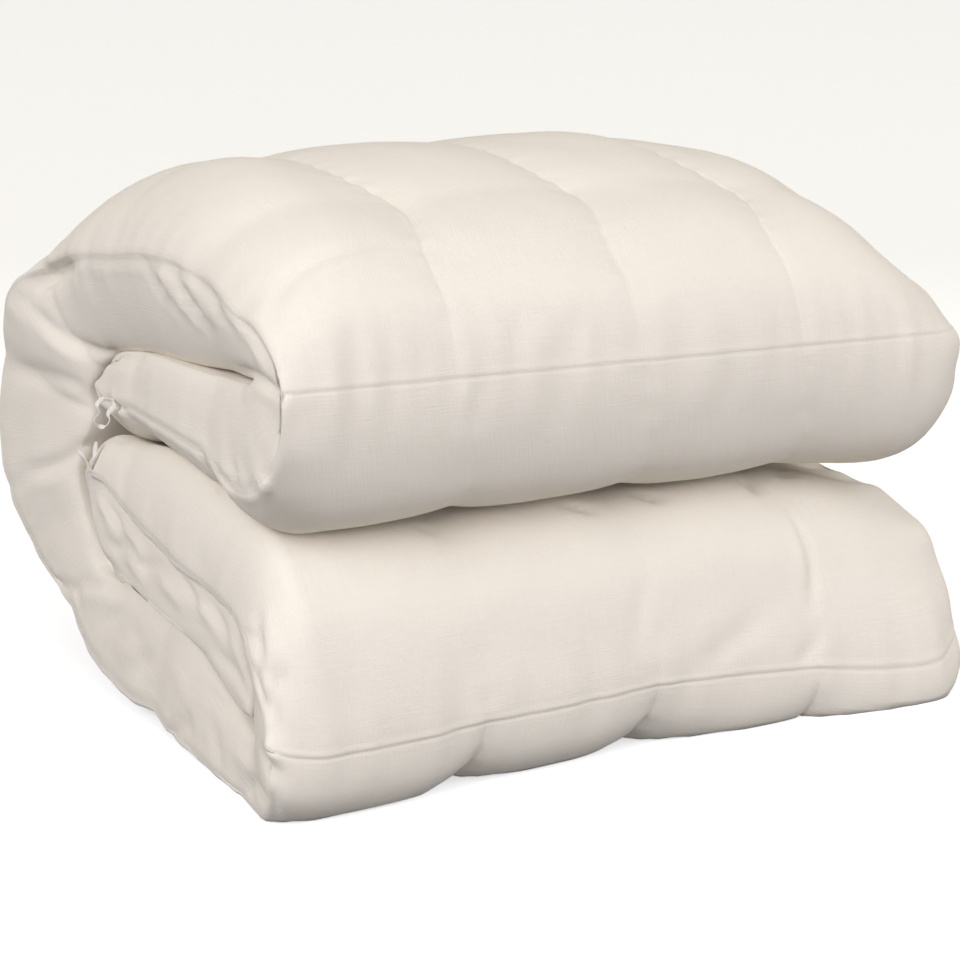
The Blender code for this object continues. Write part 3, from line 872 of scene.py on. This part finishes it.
SWEEP_LEVEL, SWEEP_BEND, SWEEP_HEIGHT = 3.6, 3.0, 12.0  # how far it is level, its curve's radius, and its top
SWEEP_CORNERS, SWEEP_BENDS = 64, 12  # points round it, and up its curve
SWEEP_GLOW, SWEEP_ROUGHNESS = 0.55, 0.9
SKY_COLOUR = (1.0, 0.94, 0.79)
SKY_ABOVE, SKY_BELOW = 0.39, 0.03  # brightness of the sky above the floor's level, and below it
HORIZON = 0.0001  # just above the floor's level
LAMP_COLOUR = (0.985, 1.0, 1.10)
LIT = (0.0, 0.0, 0.15)  # what the lamps point at
LAMPS = (  # name, place, size in metres, power in watts
    ("left", (-2.6, -0.6, 1.4), 2.0, 52.0),
    ("right", (1.4, -2.2, 1.6), 2.0, 35.0),
    ("front", (-0.8, -2.8, 0.7), 1.6, 29.5),
)


def sweep():
    """A plain pale sweep, level round the object and curving up far from it."""
    angles = 2 * math.pi * np.arange(SWEEP_CORNERS) / SWEEP_CORNERS
    profile = [(SWEEP_LEVEL, 0.0)]  # how far out, and how high
    for bend in math.pi / 2 * np.arange(1, SWEEP_BENDS + 1) / SWEEP_BENDS:
        profile.append((SWEEP_LEVEL + SWEEP_BEND * math.sin(bend), SWEEP_BEND * (1 - math.cos(bend))))
    profile.append((SWEEP_LEVEL + SWEEP_BEND, SWEEP_HEIGHT))
    rings = [
        [(far * math.cos(angle), far * math.sin(angle), high) for angle in angles] for far, high in profile
    ]
    grid = np.arange(len(profile) * SWEEP_CORNERS).reshape(len(profile), SWEEP_CORNERS)
    grid = np.hstack([grid, grid[:, :1]])
    faces = [grid[0, :-1].tolist()] + strips(grid)[:, ::-1].tolist()
    made = in_scene("sweep", smooth_mesh("sweep", rings, faces))
    white = (*FLOOR_WHITE, 1)
    paint = {"Base Color": white, "Roughness": SWEEP_ROUGHNESS}
    glow = {"Emission Color": white, "Emission Strength": SWEEP_GLOW}
    made.data.materials.append(Nodes("sweep_white").surface({**paint, **glow}))
    # the light from below and from round about is the sky's instead
    made.visible_diffuse = made.visible_shadow = False


def sky():
    """A soft sky, much dimmer below the floor's level."""
    world = bpy.data.worlds.new("studio")
    world.use_nodes = True
    tree = world.node_tree
    direction = tree.nodes.new("ShaderNodeTexCoord").outputs["Generated"]
    parts = tree.nodes.new("ShaderNodeSeparateXYZ")
    ramp = tree.nodes.new("ShaderNodeValToRGB")
    tree.links.new(direction, parts.inputs["Vector"])
    tree.links.new(parts.outputs["Z"], ramp.inputs["Fac"])
    tree.links.new(ramp.outputs["Color"], tree.nodes["Background"].inputs["Color"])
    ramp.color_ramp.interpolation = "CONSTANT"
    for element, brightness in zip(ramp.color_ramp.elements, (SKY_BELOW, SKY_ABOVE)):
        element.color = (*(part * brightness for part in SKY_COLOUR), 1)
    ramp.color_ramp.elements[1].position = HORIZON
    bpy.context.scene.world = world
    bpy.context.scene.view_settings.view_transform = "Standard"


def lamps():
    """Soft studio light."""
    for name, place, size, power in LAMPS:
        light = bpy.data.lights.new(name, "AREA")
        light.size, light.energy, light.color = size, power, LAMP_COLOUR
        lamp = in_scene(name, light)
        lamp.location = place
        lamp.rotation_euler = (Vector(LIT) - Vector(place)).to_track_quat("-Z", "Y").to_euler()


# ---------------------------------------------------------------------------------------------------------
# The ties
# ---------------------------------------------------------------------------------------------------------

# Where the middles of the ties run, in the section's frame, from the front folds back.
CORNER_LOOP = (  # closed, and pinched in its middle, on E's free corner
    # x      y      z
    (-0.2438, 0.2597, 0.2060),
    (-0.2434, 0.2587, 0.2020),
    (-0.2468, 0.2609, 0.1975),
    (-0.2460, 0.2605, 0.1930),
    (-0.2488, 0.2627, 0.1890),
    (-0.2528, 0.2652, 0.1900),
    (-0.2538, 0.2657, 0.1940),
    (-0.2513, 0.2642, 0.1985),
    (-0.2528, 0.2647, 0.2030),
    (-0.2488, 0.2627, 0.2070),
)
CORNER_TIE = (  # open, with its two free ends up, on the corner of the inner fold
    # x      y      z
    (-0.2560, 0.2990, 0.1700),
    (-0.2535, 0.2975, 0.1655),
    (-0.2500, 0.2955, 0.1600),
    (-0.2485, 0.2945, 0.1570),
    (-0.2470, 0.2935, 0.1605),
    (-0.2455, 0.2925, 0.1670),
    (-0.2445, 0.2915, 0.1740),
)
TAPE_WIDTH, TAPE_THICKNESS = 0.0034, 0.0009
TAPE_SAMPLES = 8  # between two rows of a table
TAPE_CORNERS = 10  # points round the tape
TAPE_FACING = (-1.0, 0.0, 0.0)  # which way its flat side looks before it turns
TAPE_CURL, TAPE_TURNS = 0.8, 2  # radians by which the tape turns to and fro, and how often along its length
TAPE_SQUARENESS = 0.6  # 1 for an oval section, less for a squarer one


def tape(name, places, closed):
    """A narrow flat tape along the places, with rounded edges, turning a little along its length."""
    rows = np.array(places) - BUNDLE_MIDDLE
    if closed:
        rows = np.vstack([rows, rows[:1]])
    stops = np.linspace(0, len(rows) - 1, TAPE_SAMPLES * (len(rows) - 1) + 1)
    line = np.stack([through(np.arange(len(rows)), column, stops) for column in rows.T], axis=1)
    line = line[:-1] if closed else line
    ahead = np.roll(line, -1, axis=0) - np.roll(line, 1, axis=0)
    if not closed:
        ahead[0], ahead[-1] = line[1] - line[0], line[-1] - line[-2]
    ahead /= np.linalg.norm(ahead, axis=1)[:, None]
    side = np.cross(ahead, TAPE_FACING)
    side /= np.linalg.norm(side, axis=1)[:, None]
    face = np.cross(side, ahead)
    waves = np.sin(np.linspace(0, 2 * math.pi * TAPE_TURNS, len(line), endpoint=not closed))
    turn = TAPE_CURL * waves[:, None]
    side, face = side * np.cos(turn) + face * np.sin(turn), face * np.cos(turn) - side * np.sin(turn)
    angles = 2 * math.pi * np.arange(TAPE_CORNERS) / TAPE_CORNERS
    wide = TAPE_WIDTH / 2 * np.cos(angles)
    thick = TAPE_THICKNESS / 2 * np.sign(np.sin(angles)) * np.abs(np.sin(angles)) ** TAPE_SQUARENESS
    ring = line[:, None, :] + side[:, None, :] * wide[:, None] + face[:, None, :] * thick[:, None]
    numbers = np.arange(len(line) * TAPE_CORNERS).reshape(len(line), TAPE_CORNERS)
    numbers = np.hstack([numbers, numbers[:, :1]])
    if closed:
        numbers = np.vstack([numbers, numbers[:1]])
    faces = strips(numbers).tolist()
    if not closed:
        faces += [numbers[0, -2::-1].tolist(), numbers[-1, :-1].tolist()]
    on_cloth = np.zeros(ring.shape)
    on_cloth[:, :, 0] = wide
    on_cloth[:, :, 1] = run_lengths(line)[:, None]
    return in_scene(name, smooth_mesh(name, ring, faces, on_cloth))


def main():
    camera()
    sweep()
    sky()
    lamps()
    quilt = Quilt()
    quilt.push(sewn_forms(quilt) + swaying(quilt))
    quilt.push(creased(quilt))
    blanket = in_scene("quilt_cloth", quilt.mesh("quilt_cloth"))
    blanket.data.materials.append(woven("cream_cotton", CREAM))
    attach(blanket, "root")
    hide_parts("quilted_blanket")
    tape_cotton = woven("white_tape", TAPE_WHITE)
    for name, node, places, closed in (
        ("loop_tape", "corner_loop", CORNER_LOOP, True),
        ("tie_tape", "corner_tie", CORNER_TIE, False),
    ):
        piece = tape(name, places, closed)
        piece.data.materials.append(tape_cotton)
        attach(piece, "root")
        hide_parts(node)
    print("quilt", len(quilt.points), "points", 2 * len(quilt.quads), "triangles", len(quilt.rows), "rows")


main()
